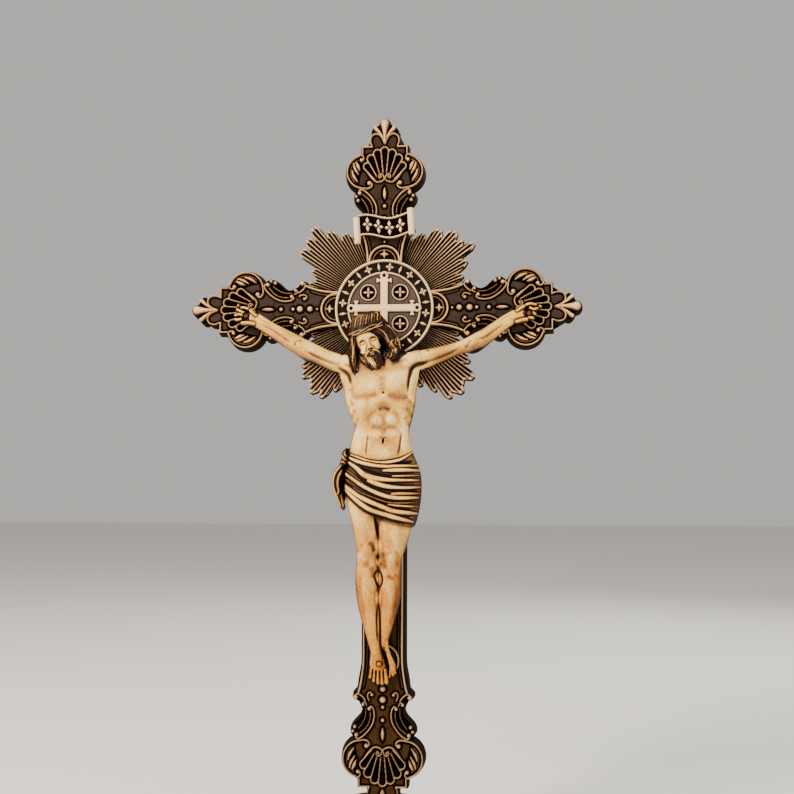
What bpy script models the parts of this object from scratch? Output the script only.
# Standing crucifix of carved and stained wood, with a round medal over the crossing.
# The cross is modelled lying flat, from the medal's centre: x across, y up, z out of its front.
# One empty then stands it up in the base, with the front facing -Y.
import math

import bmesh
import bpy
from mathutils import Matrix, Vector

MM = 0.001
FIT = 0.3 * MM               # clearance between pieces that touch

# Cross boards
ARM_REACH = 107.8 * MM       # medal centre to the tip of the three short ends
FOOT_REACH = 271.2 * MM      # medal centre to the same tip on the foot, were it whole
BOARD_THICKNESS = 10.0 * MM
EDGE_CHAMFER = 0.4 * MM
STRIP_HALF_WIDTH = 10.2 * MM  # plain strip beside the medal
FLARE_HALF_WIDTH = 13.3 * MM  # where the strip ends in its two scroll tips
FLARE_LENGTH = 16.0 * MM
RELIEF = 1.5 * MM            # how far the carved lines stand off the ground
RAIL_WIDTH = 1.5 * MM
RAIL_INSET = 1.2 * MM
SUNK = 0.1 * MM              # how far below the ground a carved body is widest
LAYERS = 5
LAYER_DROP = 0.07 * MM

# Carved end, measured inward from its tip
END_LENGTH = 65.8 * MM       # tip to the strip's scroll tips
LOBE_FROM_TIP = 30.5 * MM
LOBE_OFFSET = 11.5 * MM
LOBE_RADIUS = 10.2 * MM
SHELL_FROM_TIP = 35.9 * MM   # hinge of the shell
SHELL_LENGTH = 20.3 * MM
SHELL_FLUTES = 7
SHELL_SPREAD = 51.0          # degrees from the axis to the last flute
SHELL_FLUTE_WIDTH = 3.7 * MM
STEP_FROM_TIP = 15.6 * MM
STEP_HALF_WIDTH = 13.1 * MM
LUNETTE_RADIUS = 7.9 * MM

# Medal
MEDAL_RADIUS = 27.3 * MM
MEDAL_THICKNESS = 4.5 * MM
MEDAL_RIM = 1.6 * MM
MEDAL_RING_RADIUS = 20.1 * MM
MEDAL_CROSS_WIDTH = 4.2 * MM
MEDAL_ROUNDEL_RADIUS = 4.4 * MM
MEDAL_ROUNDEL_OFFSET = 8.8 * MM
MEDAL_KNOB_RADIUS = 1.9 * MM
MEDAL_PEG_RADIUS = 2.0 * MM

# Sunburst fans in the four corners
RAY_COUNT = 10
RAY_FIRST = 13.0             # degrees from the board to the first and the last ray
RAY_LONG = 60.5 * MM
RAY_SHORT = 43.5 * MM
RAY_PEAK_HALF = 4.5          # degrees to each side over which the rays stay long
RAY_PEAK_FALL = 15.4         # degrees over which they fall away after that
RAY_NOTCH = 3.0 * MM         # how far the notches between two tips go back
FAN_BACK = 1.0 * MM          # fan's back, in front of the boards' back
FAN_RECESS = 2.2 * MM        # ray crests behind the boards' front
RAY_RIDGE = 1.1 * MM

# Title scroll
TITLE_LENGTH = 28.0 * MM
TITLE_HEIGHT = 12.0 * MM
TITLE_THICKNESS = 2.4 * MM
TITLE_UP = 45.4 * MM
TITLE_WAVE = 1.5 * MM
TITLE_ROLL_RADIUS = 1.7 * MM
TITLE_ROLL_LENGTH = 14.6 * MM
TITLE_TILT = 3.5             # degrees, rising to the right

# Corpus
CORPUS_VOXEL = 0.9 * MM
SHOULDER_LEFT = (-23.5 * MM, -31.5 * MM)
SHOULDER_RIGHT = (21.5 * MM, -30.6 * MM)
SHOULDER_TILT = 19.0         # degrees that the upper arms rise outward
LEFT_PALM = (-76.0 * MM, -4.2 * MM)
RIGHT_PALM = (79.0 * MM, -4.6 * MM)
FEET_NAIL = (-1.4 * MM, -190.5 * MM)
NAIL_RADIUS = 0.8 * MM
NAIL_HEAD_RADIUS = 1.4 * MM
NAIL_HEAD_HEIGHT = 1.0 * MM
NAIL_IN_BOARD = 4.0 * MM
HAND_HEIGHT = 4.4 * MM       # where the nails' heads sit
FEET_HEIGHT = 6.8 * MM
CROWN_CENTRE = (-7.6 * MM, -12.8 * MM)
CROWN_HALF_WIDTH = 10.0 * MM
CROWN_TILT = 22.0            # degrees, rising to the right
CROWN_STRAND = 0.8 * MM
CROWN_TWIST = 0.8 * MM
CROWN_ROOM = 1.08            # the groove's flat sides come inside its radius

# Base
PLINTH_LENGTH = 120.0 * MM
PLINTH_DEPTH = 84.0 * MM
PLINTH_HEIGHT = 14.0 * MM
DOME_LENGTH = 64.0 * MM
DOME_DEPTH = 47.0 * MM
DOME_CROWN = 15.0 * MM       # domed part alone
DOME_FOOT_HEIGHT = 7.2 * MM  # moulding under it
DOME_FOOT_SPREAD = 7.0 * MM
PAD_THICKNESS = 1.2 * MM
PAD_INSET = 4.0 * MM
TENON_HALF_WIDTH = 8.0 * MM
TENON_LENGTH = 12.0 * MM
FOOT_SHOWING = 4.7 * MM      # between the foot's square step and the dome's top

# Fasteners
DOWEL_RADIUS = 1.2 * MM
DOWEL_LENGTH = 9.0 * MM
DOWEL_OUT = 21.0 * MM        # along each board, from the medal's centre
SHOULDER_DOWEL_RADIUS = 1.4 * MM
CORPUS_PEG_RADIUS = 1.5 * MM
CORPUS_PEG_HEIGHTS = (-55.0 * MM, -104.0 * MM)
PEG_DEPTH = 4.0 * MM
SCREW_RADIUS = 1.8 * MM
SCREW_HEAD_RADIUS = 3.6 * MM
SCREW_HEAD_HEIGHT = 2.2 * MM
SCREW_SPACING = 40.0 * MM
SCREW_IN_DOME = 8.0 * MM
SCREW_IN_TENON = 7.0 * MM

FRONT = RELIEF + FIT         # back plane of what lies on the carved lines
MEDAL_BACK = RELIEF - MEDAL_THICKNESS
PLINTH_BOTTOM = PAD_THICKNESS + FIT
DOME_BOTTOM = PLINTH_BOTTOM + PLINTH_HEIGHT + FIT
DOME_TOP = DOME_BOTTOM + DOME_FOOT_HEIGHT + DOME_CROWN
STEP_REACH = FOOT_REACH - STEP_FROM_TIP
CENTRE_HEIGHT = DOME_TOP + FOOT_SHOWING + STEP_REACH
TENON_END = STEP_REACH + FOOT_SHOWING + TENON_LENGTH
TENON_BOTTOM = CENTRE_HEIGHT - TENON_END

UP, LEFT, RIGHT = 90.0, 180.0, 0.0


def clear_scene():
    for thing in list(bpy.data.objects):
        bpy.data.objects.remove(thing, do_unlink=True)


clear_scene()
parts = bpy.data.collections.new("standing_crucifix")
cutters = bpy.data.collections.new("cutters")
bpy.context.scene.collection.children.link(parts)
bpy.context.scene.collection.children.link(cutters)
cross_frame = bpy.data.objects.new("cross_frame", None)
cross_frame.location = (0, -BOARD_THICKNESS / 2, CENTRE_HEIGHT)
cross_frame.rotation_euler = (math.pi / 2, 0, 0)
parts.objects.link(cross_frame)


def material(name, colour, roughness, metallic=0.0):
    made = bpy.data.materials.new(name)
    made.use_nodes = True
    shader = made.node_tree.nodes["Principled BSDF"]
    shader.inputs["Base Color"].default_value = (*colour, 1)
    shader.inputs["Roughness"].default_value = roughness
    shader.inputs["Metallic"].default_value = metallic
    return made


def add_part(name, mesh, finish, standing=True):
    part = bpy.data.objects.new(name, mesh)
    mesh.materials.clear()
    mesh.materials.append(finish)
    parts.objects.link(part)
    if standing:
        part.parent = cross_frame
    return part


def add_cutter(name, mesh, standing=True):
    cutter = bpy.data.objects.new(name, mesh)
    cutter.hide_render = True
    cutter.display_type = "WIRE"
    cutters.objects.link(cutter)
    if standing:
        cutter.parent = cross_frame
    return cutter


def boolean(part, tool, operation="DIFFERENCE", overlapping=False):
    step = part.modifiers.new(operation.lower(), "BOOLEAN")
    step.operation = operation
    step.solver = "EXACT"
    step.use_self = overlapping
    step.object = tool


def outward(bm):
    """Turns the faces of one closed body to point out of it."""
    bmesh.ops.recalc_face_normals(bm, faces=bm.faces)
    if bm.calc_volume(signed=True) < 0:
        bmesh.ops.reverse_faces(bm, faces=bm.faces)
    return bm


def mesh_of(bm, name, smooth=True):
    mesh = bpy.data.meshes.new(name)
    bm.to_mesh(mesh)
    bm.free()
    if smooth:
        mesh.shade_smooth()
        mesh.set_sharp_from_angle(angle=math.radians(35))
    return mesh


def curve_mesh(curve):
    holder = bpy.data.objects.new(curve.name, curve)
    bpy.context.scene.collection.objects.link(holder)
    bpy.context.view_layer.update()
    ready = holder.evaluated_get(bpy.context.evaluated_depsgraph_get())
    mesh = bpy.data.meshes.new_from_object(ready)
    bpy.data.objects.remove(holder, do_unlink=True)
    bpy.data.curves.remove(curve)
    bm = bmesh.new()
    bm.from_mesh(mesh)
    bpy.data.meshes.remove(mesh)
    bmesh.ops.remove_doubles(bm, verts=bm.verts, dist=0.00001)
    return outward(bm)


def add_to(bm, other, place=None):
    """Moves a small body into the mesh that is being gathered."""
    if place is not None:
        other.transform(place)
    spare = bpy.data.meshes.new("spare")
    other.to_mesh(spare)
    other.free()
    bm.from_mesh(spare)
    bpy.data.meshes.remove(spare)


def plate(outline, thickness, front, chamfer=0.0):
    """Flat board from its outline, with its front face at height front.

    The curve gives the walls; each end is then closed with one flat face, which cuts more
    cleanly than the curve's own filling of triangles.
    """
    curve = bpy.data.curves.new("outline", "CURVE")
    curve.dimensions = "2D"
    curve.fill_mode = "NONE"
    curve.extrude = (thickness - chamfer) / 2
    spline = curve.splines.new("POLY")
    spline.points.add(len(outline) - 1)
    for point, (x, y) in zip(spline.points, outline):
        point.co = (x, y, 0, 1)
    spline.use_cyclic_u = True
    bm = curve_mesh(curve)
    bmesh.ops.holes_fill(bm, edges=[e for e in bm.edges if e.is_boundary], sides=0)
    outward(bm)
    half = (thickness - chamfer) / 2
    bmesh.ops.translate(bm, verts=bm.verts, vec=(0, 0, front - chamfer - half))
    if chamfer > 0:
        top = [f for f in bm.faces if f.normal.z > 0.9]
        bmesh.ops.inset_region(bm, faces=top, thickness=chamfer, depth=chamfer, use_even_offset=True)
    return bm


def stroke(points, radius, sides=2, radii=None):
    """Round bar through points; sides is the curve's bevel resolution."""
    curve = bpy.data.curves.new("stroke", "CURVE")
    curve.dimensions = "3D"
    curve.bevel_depth = radius
    curve.bevel_resolution = sides
    curve.use_fill_caps = True
    spline = curve.splines.new("POLY")
    spline.points.add(len(points) - 1)
    for index, point in enumerate(points):
        spline.points[index].co = (*point, 1)
        spline.points[index].radius = radii[index] if radii else 1.0
    return curve_mesh(curve)


def ball(centre, radii, turn=0.0, rings=4, segments=6):
    bm = bmesh.new()
    bmesh.ops.create_uvsphere(bm, u_segments=segments, v_segments=rings, radius=1)
    scale = Matrix.Diagonal((*radii, 1))
    bm.transform(Matrix.Translation(centre) @ Matrix.Rotation(math.radians(turn), 4, "Z") @ scale)
    return bm


def cylinder(radius, start, end, segments=12):
    """Closed cylinder between two points."""
    axis = Vector(end) - Vector(start)
    middle = (Vector(end) + Vector(start)) / 2
    bm = bmesh.new()
    bmesh.ops.create_cone(bm, cap_ends=True, segments=segments, radius1=radius, radius2=radius,
                          depth=axis.length)
    bm.transform(Matrix.Translation(middle) @ axis.to_track_quat("Z", "Y").to_matrix().to_4x4())
    return bm


def box(low, high):
    bm = bmesh.new()
    bmesh.ops.create_cube(bm, size=1)
    size = [b - a for a, b in zip(low, high)]
    middle = [(a + b) / 2 for a, b in zip(low, high)]
    bm.transform(Matrix.Translation(middle) @ Matrix.Diagonal((*size, 1)))
    return bm


def lofted(rings, segments=32):
    """Closed body through elliptical rings, each (matrix, half width, half depth)."""
    bm = bmesh.new()
    before = None
    for place, wide, deep in rings:
        ring = bmesh.ops.create_circle(bm, segments=segments, radius=1, cap_ends=False,
                                       matrix=place @ Matrix.Diagonal((wide, deep, 1, 1)))
        edges = list({e for v in ring["verts"] for e in v.link_edges if not e.link_faces})
        edges = [e for e in edges if all(v in ring["verts"] for v in e.verts)]
        if before is None:
            bmesh.ops.contextual_create(bm, geom=edges)
        else:
            bmesh.ops.bridge_loops(bm, edges=before + edges)
        before = edges
    bmesh.ops.contextual_create(bm, geom=before)
    return outward(bm)


def turned(angle, point, height=0.0):
    """Point (out, aside) of one arm, laid on the flat cross."""
    out, aside = point
    c, s = math.cos(math.radians(angle)), math.sin(math.radians(angle))
    return (out * c - aside * s, out * s + aside * c, height)


# Outline of the boards

def lobe_arc(reach):
    centre = reach - LOBE_FROM_TIP
    points = []
    for step in range(9):
        a = math.radians(-78 + 154 * step / 8)
        points.append((centre + LOBE_RADIUS * math.sin(a), LOBE_OFFSET + LOBE_RADIUS * math.cos(a)))
    return points


def flare_points(reach):
    """Edge of the plain strip, from the medal out to the scroll tip."""
    start = reach - END_LENGTH
    flare = [(start - FLARE_LENGTH * (1 - t),
              STRIP_HALF_WIDTH + (FLARE_HALF_WIDTH - STRIP_HALF_WIDTH) * t ** 1.6)
             for t in (0.0, 0.3, 0.55, 0.8, 1.0)]
    return [(0.0, STRIP_HALF_WIDTH)] + flare


def neck_points(reach):
    """Scroll tip, the narrow neck behind it and the ribbon's bulge."""
    tip = reach - END_LENGTH
    wide = FLARE_HALF_WIDTH
    steps = ((2.4, 2.0), (3.4, 2.3), (4.4, 1.5), (5.8, -0.6), (8.2, -2.2), (11.0, -3.0),
             (13.8, -1.7), (16.4, 0.4), (19.0, 2.3), (21.3, 3.2), (23.6, 2.8))
    return [(tip + out * MM, wide + aside * MM) for out, aside in steps]


def finial_points(reach):
    steps = ((15.6, 7.4), (13.2, 8.4), (10.6, 7.7), (8.8, 5.6), (7.2, 6.7), (6.0, 5.6),
             (5.2, 2.9), (3.2, 3.0), (1.6, 2.3), (0.6, 1.1))
    return [(reach - back * MM, aside * MM) for back, aside in steps]


def end_outline(reach, whole=True):
    """One side of a board, from the medal's centre to the tip."""
    points = flare_points(reach) + neck_points(reach)
    points += lobe_arc(reach)
    step = reach - STEP_FROM_TIP
    points += [(step - 4.0 * MM, STEP_HALF_WIDTH), (step, STEP_HALF_WIDTH)]
    if whole:
        points += finial_points(reach)
    else:
        points += [(step, TENON_HALF_WIDTH), (TENON_END, TENON_HALF_WIDTH)]
    return points


def board_outline(angle, near, far):
    """Closed outline of a board that runs both ways from the centre."""
    loop = []
    for turn, side in ((angle, near), (angle + 180, far)):
        loop += [turned(turn, (out, -aside))[:2] for out, aside in side[1:]]
        if side[-1][1] < TENON_HALF_WIDTH:
            tip = side[-1][0] + 0.6 * MM
            loop.append(turned(turn, (tip, 0))[:2])
        loop += [turned(turn, point)[:2] for point in reversed(side[1:])]
    return loop


def grown(side, margin):
    return [(out, aside + margin) for out, aside in side]


# Carving of one end. It is gathered in layers whose bodies don't meet each other,
# and each layer stands a little lower than the one before, so that no two crests coincide.

def rail(layer, angle, points, radius=RAIL_WIDTH / 2, radii=None):
    """Carved line: a bar sunk to just below its widest, as high as the relief."""
    bm = stroke([turned(angle, p) for p in points], radius, 0, radii)
    most = radius * max(radii) if radii else radius
    sunk, height = layer_levels(layer)
    bm.transform(Matrix.Translation((0, 0, -sunk)) @ Matrix.Diagonal((1, 1, (height + sunk) / most, 1)))
    return bm


def layer_levels(layer):
    return SUNK * (1 + 0.4 * layer), RELIEF - LAYER_DROP * layer


def mound(layer, angle, point, along, aside, lean=0.0):
    """Rounded boss on the ground, longer one way where along and aside differ."""
    x, y, _ = turned(angle, point)
    sunk, height = layer_levels(layer)
    return ball((x, y, -sunk), (along, aside, height + sunk), angle + lean)


def carve_rails(layers, angle, reach):
    edge = flare_points(reach)
    first = MEDAL_RADIUS + 0.8 * MM
    for side in (1, -1):
        path = [(first, side * (STRIP_HALF_WIDTH - RAIL_INSET))]
        path += [(out, side * (aside - RAIL_INSET)) for out, aside in edge if out > first + 1.0 * MM]
        add_to(layers[0], rail(0, angle, path))


def carve_lunette(layers, angle):
    path = []
    for step in range(7):
        a = math.radians(-80 + 160 * step / 6)
        path.append((MEDAL_RADIUS + 1.0 * MM + (LUNETTE_RADIUS - 1.0 * MM) * math.cos(a),
                     LUNETTE_RADIUS * 0.9 * math.sin(a)))
    add_to(layers[0], rail(0, angle, path, 0.5 * MM))


def carve_lobes(layers, angle, reach):
    centre = reach - LOBE_FROM_TIP
    steps = 6
    for side in (1, -1):
        path = []
        for step in range(steps + 1):
            t = step / steps
            a = math.radians(-112 + 185 * t)
            r = LOBE_RADIUS - 3.3 * MM + 2.3 * MM * math.sin(math.pi * t) ** 0.6
            path.append((centre + r * math.sin(a), side * (LOBE_OFFSET + r * math.cos(a))))
        swell = [0.7 + 0.5 * math.sin(math.pi * i / steps) for i in range(steps + 1)]
        add_to(layers[0], rail(0, angle, path, radii=swell))
        for end in (path[0], path[-1]):
            add_to(layers[1], mound(1, angle, end, 1.5 * MM, 1.5 * MM))


def carve_axis(layers, angle, reach):
    start = reach - END_LENGTH
    for out, radius in ((-0.8, 1.0), (5.0, 1.8), (8.5, 1.0), (15.4, 1.0)):
        add_to(layers[1], mound(1, angle, (start + out * MM, 0), radius * MM, radius * MM))
    add_to(layers[1], mound(1, angle, (start + 23.4 * MM, 0), 4.2 * MM, 1.4 * MM))


def carve_ribbons(layers, angle, reach):
    start = reach - END_LENGTH
    inner = ((9.4, 6.9), (13.0, 4.0), (18.2, 5.1), (22.6, 9.2), (22.9, 13.4))
    outer = ((11.0, 8.5), (15.6, 10.0), (20.6, 14.2))
    bracket = ((3.4, 13.8), (3.4, 9.6), (6.9, 9.8))
    for side in (1, -1):
        for line in (inner, outer, bracket):
            path = [(start + out * MM, side * aside * MM) for out, aside in line]
            add_to(layers[2], rail(2, angle, path, 0.55 * MM))
        add_to(layers[1], mound(1, angle, (start + 3.7 * MM, side * 13.9 * MM), 1.2 * MM, 1.2 * MM))
        add_to(layers[1], mound(1, angle, (start + 2.3 * MM, side * 5.2 * MM), 1.1 * MM, 1.1 * MM))


def carve_shell(layers, angle, reach):
    """Flutes spreading from the hinge, and the two small volutes beside it."""
    hinge = reach - SHELL_FROM_TIP
    for index in range(SHELL_FLUTES):
        share = 2 * index / (SHELL_FLUTES - 1) - 1
        lean = SHELL_SPREAD * share * (0.86 + 0.14 * abs(share))
        length = SHELL_LENGTH * (1 - 0.26 * share * share)
        middle = 0.60 * length
        a = math.radians(lean)
        layer = 3 + index % 2
        point = (hinge + middle * math.cos(a), middle * math.sin(a))
        add_to(layers[layer], mound(layer, angle, point, 0.40 * length, SHELL_FLUTE_WIDTH / 2, lean))
    for side in (1, -1):
        point = (hinge + 2.4 * MM, side * 2.1 * MM)
        add_to(layers[1], mound(1, angle, point, 1.6 * MM, 1.6 * MM))


def carve_finial(layers, angle, reach):
    add_to(layers[1], mound(1, angle, (reach - 8.6 * MM, 0), 5.6 * MM, 1.1 * MM))
    add_to(layers[2], mound(2, angle, (reach - 2.7 * MM, 0), 1.9 * MM, 2.0 * MM))
    for side in (1, -1):
        leaf = (reach - 7.3 * MM, side * 3.6 * MM)
        add_to(layers[2], mound(2, angle, leaf, 1.0 * MM, 2.2 * MM, side * -20))
        ring = []
        for step in range(6):
            a = math.radians(20 + 300 * step / 5)
            ring.append((reach - 12.6 * MM + 2.3 * MM * math.cos(a),
                         side * (4.8 * MM + 2.3 * MM * math.sin(a))))
        add_to(layers[0], rail(0, angle, ring, 0.5 * MM))


def carved_end(layers, angle, reach, whole=True):
    carve_rails(layers, angle, reach)
    carve_lunette(layers, angle)
    carve_axis(layers, angle, reach)
    carve_ribbons(layers, angle, reach)
    carve_lobes(layers, angle, reach)
    carve_shell(layers, angle, reach)
    if whole:
        carve_finial(layers, angle, reach)


def board(name, angle, near, far, foot, finish):
    """Board with its carved ends; foot is true where the far end is the tenon."""
    outline = board_outline(angle, end_outline(near), end_outline(far, not foot))
    part = add_part(name, mesh_of(plate(outline, BOARD_THICKNESS, 0, EDGE_CHAMFER), name), finish)
    layers = [bmesh.new() for _ in range(LAYERS)]
    carved_end(layers, angle, near)
    carved_end(layers, angle + 180, far, not foot)
    for index, layer in enumerate(layers):
        label = "%s_carving_%d" % (name, index)
        boolean(part, add_cutter(label, mesh_of(layer, label)), "UNION")
    return part


def half_lap(part, low, high):
    """Takes half the thickness out where the other board crosses."""
    reach = STRIP_HALF_WIDTH + FIT
    tool = add_cutter(part.name + "_lap", mesh_of(box((-reach, -reach, low), (reach, reach, high)),
                                                  "lap", False))
    boolean(part, tool)


def medal_recess(targets):
    bm = cylinder(MEDAL_RADIUS + FIT, (0, 0, MEDAL_BACK - FIT), (0, 0, RELIEF * 3), 48)
    tool = add_cutter("medal_recess", mesh_of(bm, "medal_recess"))
    for part in targets:
        boolean(part, tool)


# Sunburst

def ray_reach(angle):
    """Length of the ray that leaves at this many degrees from a board."""
    away = abs(angle - 45.0) - RAY_PEAK_HALF
    fall = min(max(away / RAY_PEAK_FALL, 0.0), 1.0)
    return RAY_LONG + (RAY_SHORT - RAY_LONG) * fall


def fan(name, quarter, finish):
    """One corner fan, its crests and valleys running out from the medal."""
    spacing = (90 - 2 * RAY_FIRST) / (RAY_COUNT - 1)
    valley = -FAN_RECESS - RAY_RIDGE
    lines = []
    for index in range(2 * RAY_COUNT + 1):
        angle = RAY_FIRST + spacing * (index - 1) / 2
        crest = index % 2 == 1
        reach = ray_reach(angle)
        if not crest:
            reach = min(ray_reach(angle - spacing / 2), ray_reach(angle + spacing / 2)) - RAY_NOTCH
        lines.append((math.radians(quarter + angle), reach, -FAN_RECESS if crest else valley))
    inner = MEDAL_BACK - FIT
    rows = [[(STRIP_HALF_WIDTH * 1.5, inner) for _ in lines],
            [(MEDAL_RADIUS + FIT, min(inner, valley)) for _ in lines],
            [(MEDAL_RADIUS + 2 * FIT, height) for _, _, height in lines],
            [(reach, height) for _, reach, height in lines]]
    bm = bmesh.new()
    grid = []
    for row in rows:
        grid.append([bm.verts.new((r * math.cos(a), r * math.sin(a), z))
                     for (a, _, _), (r, z) in zip(lines, row)])
    for lower, upper in zip(grid, grid[1:]):
        for i in range(len(lines) - 1):
            bm.faces.new((lower[i], upper[i], upper[i + 1], lower[i + 1]))
    back = bmesh.ops.extrude_face_region(bm, geom=list(bm.faces))
    for item in back["geom"]:
        if isinstance(item, bmesh.types.BMVert):
            item.co.z = FAN_BACK - BOARD_THICKNESS
    bmesh.ops.dissolve_limit(bm, angle_limit=math.radians(0.2), verts=bm.verts, edges=bm.edges)
    bmesh.ops.triangulate(bm, faces=bm.faces)
    return add_part(name, mesh_of(outward(bm), name), finish)


def trim_fans(fans):
    """Leaves room beside the boards, following their edges."""
    up = grown(end_outline(ARM_REACH), FIT)
    down = grown(end_outline(FOOT_REACH, False), FIT)
    for index, outline in enumerate((board_outline(UP, up, down), board_outline(LEFT, up, up))):
        bm = plate(outline, BOARD_THICKNESS * 2, BOARD_THICKNESS / 2)
        tool = add_cutter("board_room_%d" % index, mesh_of(bm, "board_room"))
        for part in fans:
            boolean(part, tool)


# Medal

def medal(finish):
    top, back = RELIEF, MEDAL_BACK
    ground, letters = RELIEF - 1.2 * MM, RELIEF - 1.0 * MM
    outer = MEDAL_RADIUS
    ring = MEDAL_RING_RADIUS
    half = MEDAL_RIM / 2
    profile = ((outer, back), (outer, top - 0.4 * MM), (outer - 0.4 * MM, top),
               (outer - MEDAL_RIM, top), (outer - MEDAL_RIM - 0.3 * MM, letters),
               (ring + half + 0.3 * MM, letters), (ring + half, top), (ring - half, top),
               (ring - half - 0.3 * MM, ground))
    bm = bmesh.new()
    verts = [bm.verts.new((r, 0, z)) for r, z in profile]
    edges = [bm.edges.new(pair) for pair in zip(verts, verts[1:])]
    bmesh.ops.spin(bm, geom=verts + edges, axis=(0, 0, 1), cent=(0, 0, 0), steps=28,
                   angle=math.tau, use_merge=True)
    bmesh.ops.holes_fill(bm, edges=bm.edges, sides=0)
    part = add_part("medal_disc", mesh_of(outward(bm), "medal_disc"), finish)
    relief = bmesh.new()
    reach = ring - MEDAL_RIM
    half = MEDAL_CROSS_WIDTH / 2
    low = ground - 0.5 * MM
    add_to(relief, box((-reach, -half, low), (reach, half, top - 0.1 * MM)))
    add_to(relief, box((-half, -reach, low), (half, reach, top - 0.1 * MM)))
    for quarter in range(4):
        a = quarter * math.pi / 2
        x, y = reach * math.cos(a), reach * math.sin(a)
        knob = cylinder(MEDAL_KNOB_RADIUS, (x, y, low), (x, y, top - 0.05 * MM))
        add_to(relief, knob)
        a += math.pi / 4
        x = MEDAL_ROUNDEL_OFFSET * math.sqrt(2) * math.cos(a)
        y = MEDAL_ROUNDEL_OFFSET * math.sqrt(2) * math.sin(a)
        add_to(relief, cylinder(MEDAL_ROUNDEL_RADIUS, (x, y, low), (x, y, top - 0.3 * MM), 16))
    tool = add_cutter("medal_relief", mesh_of(relief, "medal_relief"))
    boolean(part, tool, "UNION", overlapping=True)
    return part


# Title scroll

def title_scroll(finish):
    half, tall = TITLE_LENGTH / 2, TITLE_HEIGHT / 2
    steps = 10
    wave = [(-half + 2 * half * i / steps,
             TITLE_WAVE * math.sin(math.tau * (i / steps + 0.12))) for i in range(steps + 1)]
    outline = [(x, y - tall) for x, y in wave] + [(x, y + tall) for x, y in reversed(wave)]
    bm = plate(outline, TITLE_THICKNESS, FRONT + TITLE_THICKNESS, 0.3 * MM)
    place = Matrix.Translation((0, TITLE_UP, 0)) @ Matrix.Rotation(math.radians(TITLE_TILT), 4, "Z")
    bm.transform(place)
    part = add_part("title_scroll", mesh_of(bm, "title_scroll"), finish)
    rolls = bmesh.new()
    for side in (-1, 1):
        x = side * (half + TITLE_ROLL_RADIUS * 0.6)
        y = side * 0.5 * TITLE_WAVE
        z = FRONT + TITLE_ROLL_RADIUS
        reach = TITLE_ROLL_LENGTH / 2
        add_to(rolls, cylinder(TITLE_ROLL_RADIUS, (x, y - reach, z), (x, y + reach, z), 12), place)
    tool = add_cutter("title_rolls", mesh_of(rolls, "title_rolls"))
    boolean(part, tool, "UNION")
    return part


# Corpus: rounded limbs are gathered, then skinned as one carved surface

def blob(bm, centre, radii, turn=0.0):
    place = Vector(centre) * MM
    size = [r * MM for r in radii]
    add_to(bm, ball(place, size, turn, rings=10, segments=14))


def limb(bm, joints):
    """Limb through joints (x, y, height, half width, half depth), all in millimetres."""
    for joint in joints:
        x, y, z, wide, deep = joint
        blob(bm, (x, y, z), (wide, wide, deep))
    for first, second in zip(joints, joints[1:]):
        start, end = Vector(first[:3]) * MM, Vector(second[:3]) * MM
        axis = (end - start).normalized()
        across = Vector((axis.y, -axis.x, 0)).normalized()
        up = across.cross(axis)
        turn = Matrix((across, up, axis)).transposed().to_4x4()
        rings = [(Matrix.Translation(at) @ turn, joint[3] * MM, joint[4] * MM)
                 for at, joint in ((start, first), (end, second))]
        add_to(bm, lofted(rings, 16))


def trunk(bm):
    """Chest, waist and hips down to the thighs, as rings across the body."""
    rows = ((-27, -2.0, 13.0, 7.0), (-31, -2.2, 19.5, 8.6), (-36, -2.4, 22.0, 9.8),
            (-42, -1.7, 20.3, 10.2), (-49, -1.4, 19.0, 10.0), (-57, -0.7, 17.5, 9.2),
            (-65, -0.2, 15.0, 8.6), (-70, -0.7, 14.6, 8.6), (-76, -1.2, 16.2, 9.0),
            (-82, -1.0, 18.0, 9.6), (-92, -0.4, 20.0, 10.2), (-102, -0.4, 19.6, 10.0),
            (-112, -0.6, 17.6, 9.0))
    flat = Matrix.Rotation(math.pi / 2, 4, "X")
    rings = [(Matrix.Translation(Vector((x, y, 2.0)) * MM) @ flat, wide * MM, deep * MM)
             for y, x, wide, deep in rows]
    add_to(bm, lofted(rings, 28))


def legs(bm):
    limb(bm, ((-9.6, -102, 3.0, 9.8, 7.4), (-8.0, -122, 3.0, 7.4, 6.6), (-7.2, -134, 3.4, 5.9, 6.6),
              (-7.4, -148, 2.8, 5.8, 5.6), (-6.2, -164, 2.6, 4.8, 4.8), (-3.6, -182, 3.4, 2.9, 4.0)))
    limb(bm, ((8.4, -104, 3.0, 9.8, 7.0), (6.4, -124, 3.0, 7.2, 6.4), (4.0, -138, 3.4, 5.5, 6.4),
              (4.2, -152, 2.6, 5.4, 5.2), (2.8, -166, 2.4, 4.4, 4.4), (0.6, -181, 2.6, 2.8, 3.2)))
    limb(bm, ((-3.6, -182, 3.4, 2.9, 4.0), (-2.8, -190, 4.4, 4.2, 3.6), (-1.9, -197, 3.2, 4.6, 2.4)))
    limb(bm, ((1.0, -181, 2.4, 2.8, 3.2), (3.4, -188, 2.6, 3.2, 2.8), (4.6, -193.5, 2.4, 2.8, 2.2)))
    for toe in range(5):
        limb(bm, ((-5.4 + 1.9 * toe, -196.5, 3.0, 1.1, 1.5),
                  (-5.2 + 1.7 * toe, -199.6 - 0.5 * toe, 2.8, 1.0, 1.3)))


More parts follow.
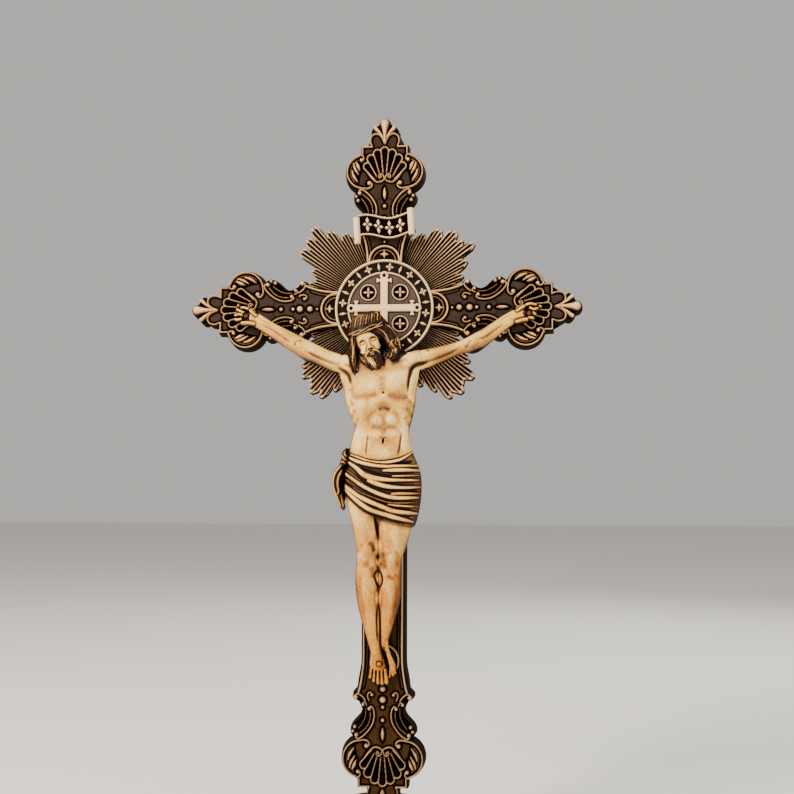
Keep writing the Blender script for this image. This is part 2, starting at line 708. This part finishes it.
def head(bm):
    blob(bm, (-7.0, -15.5, 4.6), (10.0, 10.8, 6.6), CROWN_TILT)
    blob(bm, (-4.6, -22.0, 6.4), (6.9, 8.4, 6.0), CROWN_TILT * 0.7)
    blob(bm, (-5.6, -23.0, 12.0), (1.3, 2.6, 1.2), CROWN_TILT * 0.7)
    blob(bm, (-3.2, -31.0, 6.0), (5.6, 6.0, 5.2), CROWN_TILT * 0.5)
    limb(bm, ((2.0, -12.0, 4.4, 5.0, 5.0), (6.0, -19.0, 4.4, 4.2, 5.0), (6.0, -27.0, 4.4, 3.4, 4.2),
              (3.6, -32.0, 5.6, 2.4, 3.4)))
    limb(bm, ((-13.0, -18.0, 4.4, 4.2, 4.6), (-12.6, -27.0, 4.4, 3.4, 4.4),
              (-11.2, -36.5, 5.6, 2.4, 3.8)))
    limb(bm, ((-2.0, -26.0, 3.4, 6.0, 6.0), (-1.5, -38.0, 3.4, 8.0, 7.0)))


def loincloth(bm):
    """Main folds of the cloth, all drawn to the knot on the left hip."""
    knot = (-19.0, -83.0)
    hems = ((19.0, -84.0, 1.3), (19.8, -92.0, 1.5), (19.6, -100.0, 1.6), (18.6, -108.0, 1.6),
            (15.5, -115.5, 1.6))
    for order, (x, y, thick) in enumerate(hems):
        points = []
        for step in range(9):
            t = step / 8
            sag = (2.0 + 3.2 * order) * math.sin(math.pi * t) * (1 - 0.25 * t)
            across = knot[0] + (x - knot[0]) * t
            down = knot[1] - 1.3 * order * (1 - t) + (y - knot[1]) * t - sag
            lift = 2.0 + 9.6 * math.sqrt(max(1 - (across / 21.5) ** 2, 0.0)) - 0.35 * order
            points.append(Vector((across, down, lift)) * MM)
        add_to(bm, stroke(points, thick * MM, 3))
    blob(bm, (-19.8, -83.2, 4.6), (2.6, 3.2, 3.6))
    limb(bm, ((-20.4, -84.0, 3.6, 2.2, 2.6), (-23.6, -93.0, 3.0, 3.0, 2.4), (-23.4, -103.0, 2.8, 2.4, 2.0),
              (-21.8, -109.0, 2.6, 1.4, 1.6)))


def arm(bm, side, shoulder, elbow, wrist, palm):
    limb(bm, ((*shoulder, 3.4, 5.6, 6.0), (*elbow, 3.0, 4.6, 4.6), (*wrist, 2.8, 2.6, 3.0),
              (*palm, 3.0, 3.6, 2.4)))
    for finger in range(4):
        lift = 3.4 - 2.3 * finger
        limb(bm, ((palm[0] + side * 1.0, palm[1] + lift, 3.0, 1.2, 1.7),
                  (palm[0] + side * 4.6, palm[1] + lift * 1.15 - 0.6, 3.6, 1.05, 1.6),
                  (palm[0] + side * 4.2, palm[1] + lift * 1.1 - 1.8, 4.6, 0.9, 1.2)))
    limb(bm, ((palm[0] - side * 2.0, palm[1] + 2.2, 3.2, 1.4, 1.8),
              (palm[0] + side * 1.2, palm[1] + 5.2, 4.0, 1.1, 1.5)))


def skinned(name, bm, finish, ratio, voxel=CORPUS_VOXEL):
    part = add_part(name, mesh_of(bm, name), finish)
    skin = part.modifiers.new("skin", "REMESH")
    skin.mode = "VOXEL"
    skin.voxel_size = voxel
    soften = part.modifiers.new("soften", "SMOOTH")
    soften.iterations = 3
    thin = part.modifiers.new("thin", "DECIMATE")
    thin.ratio = ratio
    return part


def flat_back(part):
    big = 400 * MM
    bm = box((-big, -big, -big), (big, big, FRONT))
    boolean(part, add_cutter(part.name + "_back", mesh_of(bm, "back", False)))


def shoulder_cut(part, point, side, outward):
    """Parts the arm from the trunk on a flat joint across the upper arm."""
    far = 60 * MM
    if outward:
        bm = box((-far, -far, -far), (FIT / 2, far, far))
    else:
        bm = box((-FIT / 2, -far, -far), (far, far, far))
    facing = SHOULDER_TILT if side > 0 else 180 - SHOULDER_TILT
    bm.transform(Matrix.Translation((*point, 0)) @ Matrix.Rotation(math.radians(facing), 4, "Z"))
    boolean(part, add_cutter(part.name + "_joint", mesh_of(bm, "joint", False)))


def crown_path(turn, offset, beyond=0.0, steps=20):
    """Path of the crown round the front of the head, from temple to temple."""
    tilt = math.radians(CROWN_TILT)
    across = Vector((math.cos(tilt), math.sin(tilt), 0))
    forward = Vector((0.10, -0.30, 0.95)).normalized()
    middle = Vector((*CROWN_CENTRE, 4.6 * MM))
    points = []
    for step in range(steps + 1):
        t = -beyond + (1 + 2 * beyond) * step / steps
        a = math.pi * t
        radial = across * math.cos(a) + forward * math.sin(a)
        upward = across.cross(forward)
        core = middle + across * CROWN_HALF_WIDTH * math.cos(a) + forward * 7.2 * MM * math.sin(a)
        phase = turn + math.tau * 2.5 * t
        points.append(core + (radial * math.cos(phase) + upward * math.sin(phase)) * offset)
    return points


def crown(finish, body):
    strand = mesh_of(stroke(crown_path(0, CROWN_TWIST), CROWN_STRAND, 0), "crown_of_thorns")
    part = add_part("crown_of_thorns", strand, finish)
    other = stroke(crown_path(math.pi, CROWN_TWIST), CROWN_STRAND, 0)
    boolean(part, add_cutter("crown_strand", mesh_of(other, "crown_strand")), "UNION")
    groove = stroke(crown_path(0, 0, 0.03), (CROWN_STRAND + CROWN_TWIST + FIT) * CROWN_ROOM, 2)
    boolean(body, add_cutter("crown_groove", mesh_of(groove, "crown_groove")))
    return part


# Fasteners

def holes(name, bodies, targets, standing=True):
    bm = bmesh.new()
    for body in bodies:
        add_to(bm, body)
    tool = add_cutter(name, mesh_of(bm, name), standing)
    for part in targets:
        boolean(part, tool)


def dowels(name, pins, radius, finish, targets, segments=10):
    """Plain pins, each between two points, and their holes in what they join."""
    longer = []
    for index, (a, b) in enumerate(pins):
        label = "%s_%d" % (name, index + 1) if len(pins) > 1 else name
        add_part(label, mesh_of(cylinder(radius, a, b, segments), label), finish)
        step = (Vector(b) - Vector(a)).normalized() * FIT
        longer.append(cylinder(radius + FIT, Vector(a) - step, Vector(b) + step, segments))
    holes(name + "_holes", longer, targets)


def nail(name, point, seat, finish, through, into):
    """Turned wooden nail: a flat head on the carving and a shank down into the board."""
    x, y = point
    bottom = -NAIL_IN_BOARD
    bm = cylinder(NAIL_RADIUS, (x, y, bottom), (x, y, seat + NAIL_HEAD_HEIGHT / 2), 10)
    part = add_part(name, mesh_of(bm, name), finish)
    top = cylinder(NAIL_HEAD_RADIUS, (x, y, seat), (x, y, seat + NAIL_HEAD_HEIGHT), 12)
    boolean(part, add_cutter(name + "_head", mesh_of(top, "nail_head")), "UNION")
    shank = cylinder(NAIL_RADIUS + FIT, (x, y, bottom - FIT), (x, y, seat + NAIL_HEAD_HEIGHT), 10)
    holes(name + "_hole", [shank], [through, into])
    sink = cylinder(NAIL_HEAD_RADIUS + FIT, (x, y, seat - FIT), (x, y, seat + 20 * MM), 12)
    holes(name + "_seat", [sink], [through])
    return part


def wood_screw(name, x, head_at, tip, finish):
    """Screw standing upward, with its head at the bottom."""
    shank = cylinder(SCREW_RADIUS, (x, 0, head_at + SCREW_HEAD_HEIGHT / 2), (x, 0, tip), 12)
    part = add_part(name, mesh_of(shank, name), finish, standing=False)
    cap = cylinder(SCREW_HEAD_RADIUS, (x, 0, head_at), (x, 0, head_at + SCREW_HEAD_HEIGHT), 16)
    boolean(part, add_cutter(name + "_head", mesh_of(cap, name + "_head"), False), "UNION")


def screws(name, places, tip, finish, targets):
    head_at = PLINTH_BOTTOM + FIT
    for index, x in enumerate(places):
        label = "%s_%d" % (name, index + 1) if len(places) > 1 else name
        wood_screw(label, x, head_at, tip, finish)
    shanks = [cylinder(SCREW_RADIUS + FIT, (x, 0, 0), (x, 0, tip + FIT), 12) for x in places]
    holes(name + "_holes", shanks, targets, standing=False)
    sinks = [cylinder(SCREW_HEAD_RADIUS + FIT, (x, 0, 0), (x, 0, head_at + SCREW_HEAD_HEIGHT + FIT), 16)
             for x in places]
    holes(name + "_sinks", sinks, targets[:1], standing=False)


# Base

def oval(rows, half_length, half_depth, segments):
    """Upright oval body; each row is a height and how far the edge is drawn in."""
    rings = [(Matrix.Translation((0, 0, z)), half_length - inset, half_depth - inset)
             for z, inset in rows]
    return lofted(rings, segments)


def base_pad(finish):
    rows = ((0.0, PAD_INSET), (PAD_THICKNESS, PAD_INSET))
    bm = oval(rows, PLINTH_LENGTH / 2, PLINTH_DEPTH / 2, 32)
    return add_part("felt_pad", mesh_of(bm, "felt_pad"), finish, standing=False)


def plinth(finish):
    low, tall = PLINTH_BOTTOM, PLINTH_HEIGHT
    rows = [(low, 0.8 * MM), (low + 0.8 * MM, 0.0), (low + 0.36 * tall, 0.0),
            (low + 0.46 * tall, 1.6 * MM), (low + 0.50 * tall, 2.6 * MM)]
    for step in range(5):
        a = math.pi / 2 * step / 4
        rows.append((low + tall * (0.52 + 0.44 * math.sin(a)), 2.8 * MM + 6.0 * MM * (1 - math.cos(a))))
    rows.append((low + tall, 10.0 * MM))
    bm = oval(rows, PLINTH_LENGTH / 2, PLINTH_DEPTH / 2, 28)
    return add_part("plinth", mesh_of(bm, "plinth"), finish, standing=False)


def dome(finish):
    low = DOME_BOTTOM
    shoulder = low + DOME_FOOT_HEIGHT
    spread = DOME_FOOT_SPREAD
    rows = [(low, -spread), (low + 0.30 * DOME_FOOT_HEIGHT, -spread),
            (low + 0.42 * DOME_FOOT_HEIGHT, -0.78 * spread)]
    for step in range(1, 4):
        a = math.pi / 2 * step / 4
        rows.append((low + DOME_FOOT_HEIGHT * (0.42 + 0.58 * (1 - math.cos(a))),
                     -0.78 * spread * (1 - math.sin(a))))
    half_length, half_depth = DOME_LENGTH / 2, DOME_DEPTH / 2
    rings = [(Matrix.Translation((0, 0, z)), half_length - d, half_depth - d) for z, d in rows]
    for step in range(7):
        a = math.pi / 2 * step / 6.6
        rings.append((Matrix.Translation((0, 0, shoulder + DOME_CROWN * math.sin(a))),
                      half_length * math.cos(a), half_depth * math.cos(a)))
    part = add_part("dome", mesh_of(lofted(rings, 26), "dome"), finish, standing=False)
    across = TENON_HALF_WIDTH + FIT
    half = BOARD_THICKNESS / 2 + FIT
    slot = box((-across, -half, TENON_BOTTOM - FIT), (across, half, DOME_TOP + 10 * MM))
    boolean(part, add_cutter("mortise", mesh_of(slot, "mortise", False), False))
    return part


def main():
    wood = material("stained_wood", (0.22, 0.13, 0.07), 0.45)
    figure_wood = material("pale_wood", (0.68, 0.48, 0.26), 0.5)
    ray_wood = material("ray_wood", (0.30, 0.18, 0.10), 0.5)
    dark_wood = material("dark_wood", (0.06, 0.035, 0.022), 0.5)
    dowel_wood = material("beech_dowel", (0.62, 0.45, 0.28), 0.6)
    nail_wood = material("nail_wood", (0.38, 0.24, 0.13), 0.5)
    steel = material("zinc_steel", (0.55, 0.55, 0.52), 0.35, 1.0)
    felt = material("felt", (0.05, 0.12, 0.07), 1.0)

    upright = board("upright", UP, ARM_REACH, FOOT_REACH, True, wood)
    crossbar = board("crossbar", RIGHT, ARM_REACH, ARM_REACH, False, wood)
    middle = -BOARD_THICKNESS / 2
    half_lap(upright, middle - FIT / 2, BOARD_THICKNESS)
    half_lap(crossbar, -2 * BOARD_THICKNESS, middle + FIT / 2)
    medal_recess((upright, crossbar))

    corners = (("rays_upper_right", 0), ("rays_upper_left", 90), ("rays_lower_left", 180),
               ("rays_lower_right", 270))
    fans = [fan(name, quarter, ray_wood) for name, quarter in corners]
    trim_fans(fans)
    disc = medal(dark_wood)
    title = title_scroll(wood)

    bm = bmesh.new()
    for build in (trunk, legs, head, loincloth):
        build(bm)
    slope = math.tan(math.radians(SHOULDER_TILT))
    for side, (x, y) in ((-1, SHOULDER_LEFT), (1, SHOULDER_RIGHT)):
        x, y = x / MM, y / MM
        inner = (x - side * 12, y - 12 * slope)
        outer = (x + side * 8, y + 8 * slope)
        limb(bm, ((*inner, 3.4, 6.0, 6.4), (x, y, 3.4, 5.8, 6.2), (*outer, 3.4, 5.4, 5.8)))
    body = skinned("corpus_body", bm, figure_wood, 0.046)
    arms = []
    shapes = (("corpus_left_arm", -1, SHOULDER_LEFT, (-45.0, -23.0), (-67.5, -6.6), LEFT_PALM),
              ("corpus_right_arm", 1, SHOULDER_RIGHT, (47.5, -21.4), (70.6, -6.4), RIGHT_PALM))
    for name, side, joint, elbow, wrist, palm in shapes:
        bm = bmesh.new()
        start = (joint[0] / MM - side * 4, joint[1] / MM - 4 * slope)
        arm(bm, side, start, elbow, wrist, (palm[0] / MM, palm[1] / MM))
        part = skinned(name, bm, figure_wood, 0.064, 0.8 * MM)
        shoulder_cut(part, joint, side, True)
        shoulder_cut(body, joint, side, False)
        arms.append(part)
    for part in [body] + arms:
        flat_back(part)
    crown(dark_wood, body)

    nail("left_hand_nail", LEFT_PALM, HAND_HEIGHT, nail_wood, arms[0], crossbar)
    nail("right_hand_nail", RIGHT_PALM, HAND_HEIGHT, nail_wood, arms[1], crossbar)
    nail("feet_nail", FEET_NAIL, FEET_HEIGHT, nail_wood, body, upright)

    fan_front = -FAN_RECESS - RAY_RIDGE
    deep = (fan_front + FAN_BACK - BOARD_THICKNESS) / 2
    near, far = STRIP_HALF_WIDTH - DOWEL_LENGTH / 2, STRIP_HALF_WIDTH + DOWEL_LENGTH / 2
    pins = []
    for quarter in range(4):
        turn = Matrix.Rotation(quarter * math.pi / 2, 4, "Z")
        pins.append((turn @ Vector((near, DOWEL_OUT, deep)), turn @ Vector((far, DOWEL_OUT, deep))))
        pins.append((turn @ Vector((DOWEL_OUT, near, deep)), turn @ Vector((DOWEL_OUT, far, deep))))
    dowels("ray_dowel", pins, DOWEL_RADIUS, dowel_wood, fans + [upright, crossbar], 8)

    lean = math.radians(SHOULDER_TILT)
    pins = []
    for side, (x, y) in ((-1, SHOULDER_LEFT), (1, SHOULDER_RIGHT)):
        along = Vector((side * math.cos(lean), math.sin(lean), 0)) * DOWEL_LENGTH / 2
        middle = Vector((x, y, FRONT + 3.4 * MM))
        pins.append((middle - along, middle + along))
    dowels("shoulder_dowel", pins, SHOULDER_DOWEL_RADIUS, dowel_wood, arms + [body])

    pins = [((0, y, -PEG_DEPTH), (0, y, FRONT + PEG_DEPTH)) for y in CORPUS_PEG_HEIGHTS]
    dowels("corpus_peg", pins, CORPUS_PEG_RADIUS, dowel_wood, [body, upright])
    pins = [((0, 0, -BOARD_THICKNESS + 2 * MM), (0, 0, MEDAL_BACK + 2.4 * MM))]
    dowels("medal_peg", pins, MEDAL_PEG_RADIUS, dowel_wood, [disc, upright, crossbar])
    pins = [((side * 6 * MM, TITLE_UP, -PEG_DEPTH), (side * 6 * MM, TITLE_UP, FRONT + 1.4 * MM))
            for side in (-1, 1)]
    dowels("title_peg", pins, DOWEL_RADIUS, dowel_wood, [title, upright])

    foot = plinth(wood)
    cap = dome(wood)
    base_pad(felt)
    across = SCREW_SPACING / 2   # two screws hold the dome, the middle one draws the tenon down
    screws("plinth_screw", (-across, across), DOME_BOTTOM + SCREW_IN_DOME, steel, [foot, cap])
    screws("tenon_screw", (0,), TENON_BOTTOM + SCREW_IN_TENON, steel, [foot, cap])
    bore = cylinder(SCREW_RADIUS + FIT, (0, 0, TENON_BOTTOM - 1 * MM),
                    (0, 0, TENON_BOTTOM + SCREW_IN_TENON + FIT), 12)
    holes("tenon_bore", [bore], [upright], standing=False)


main()
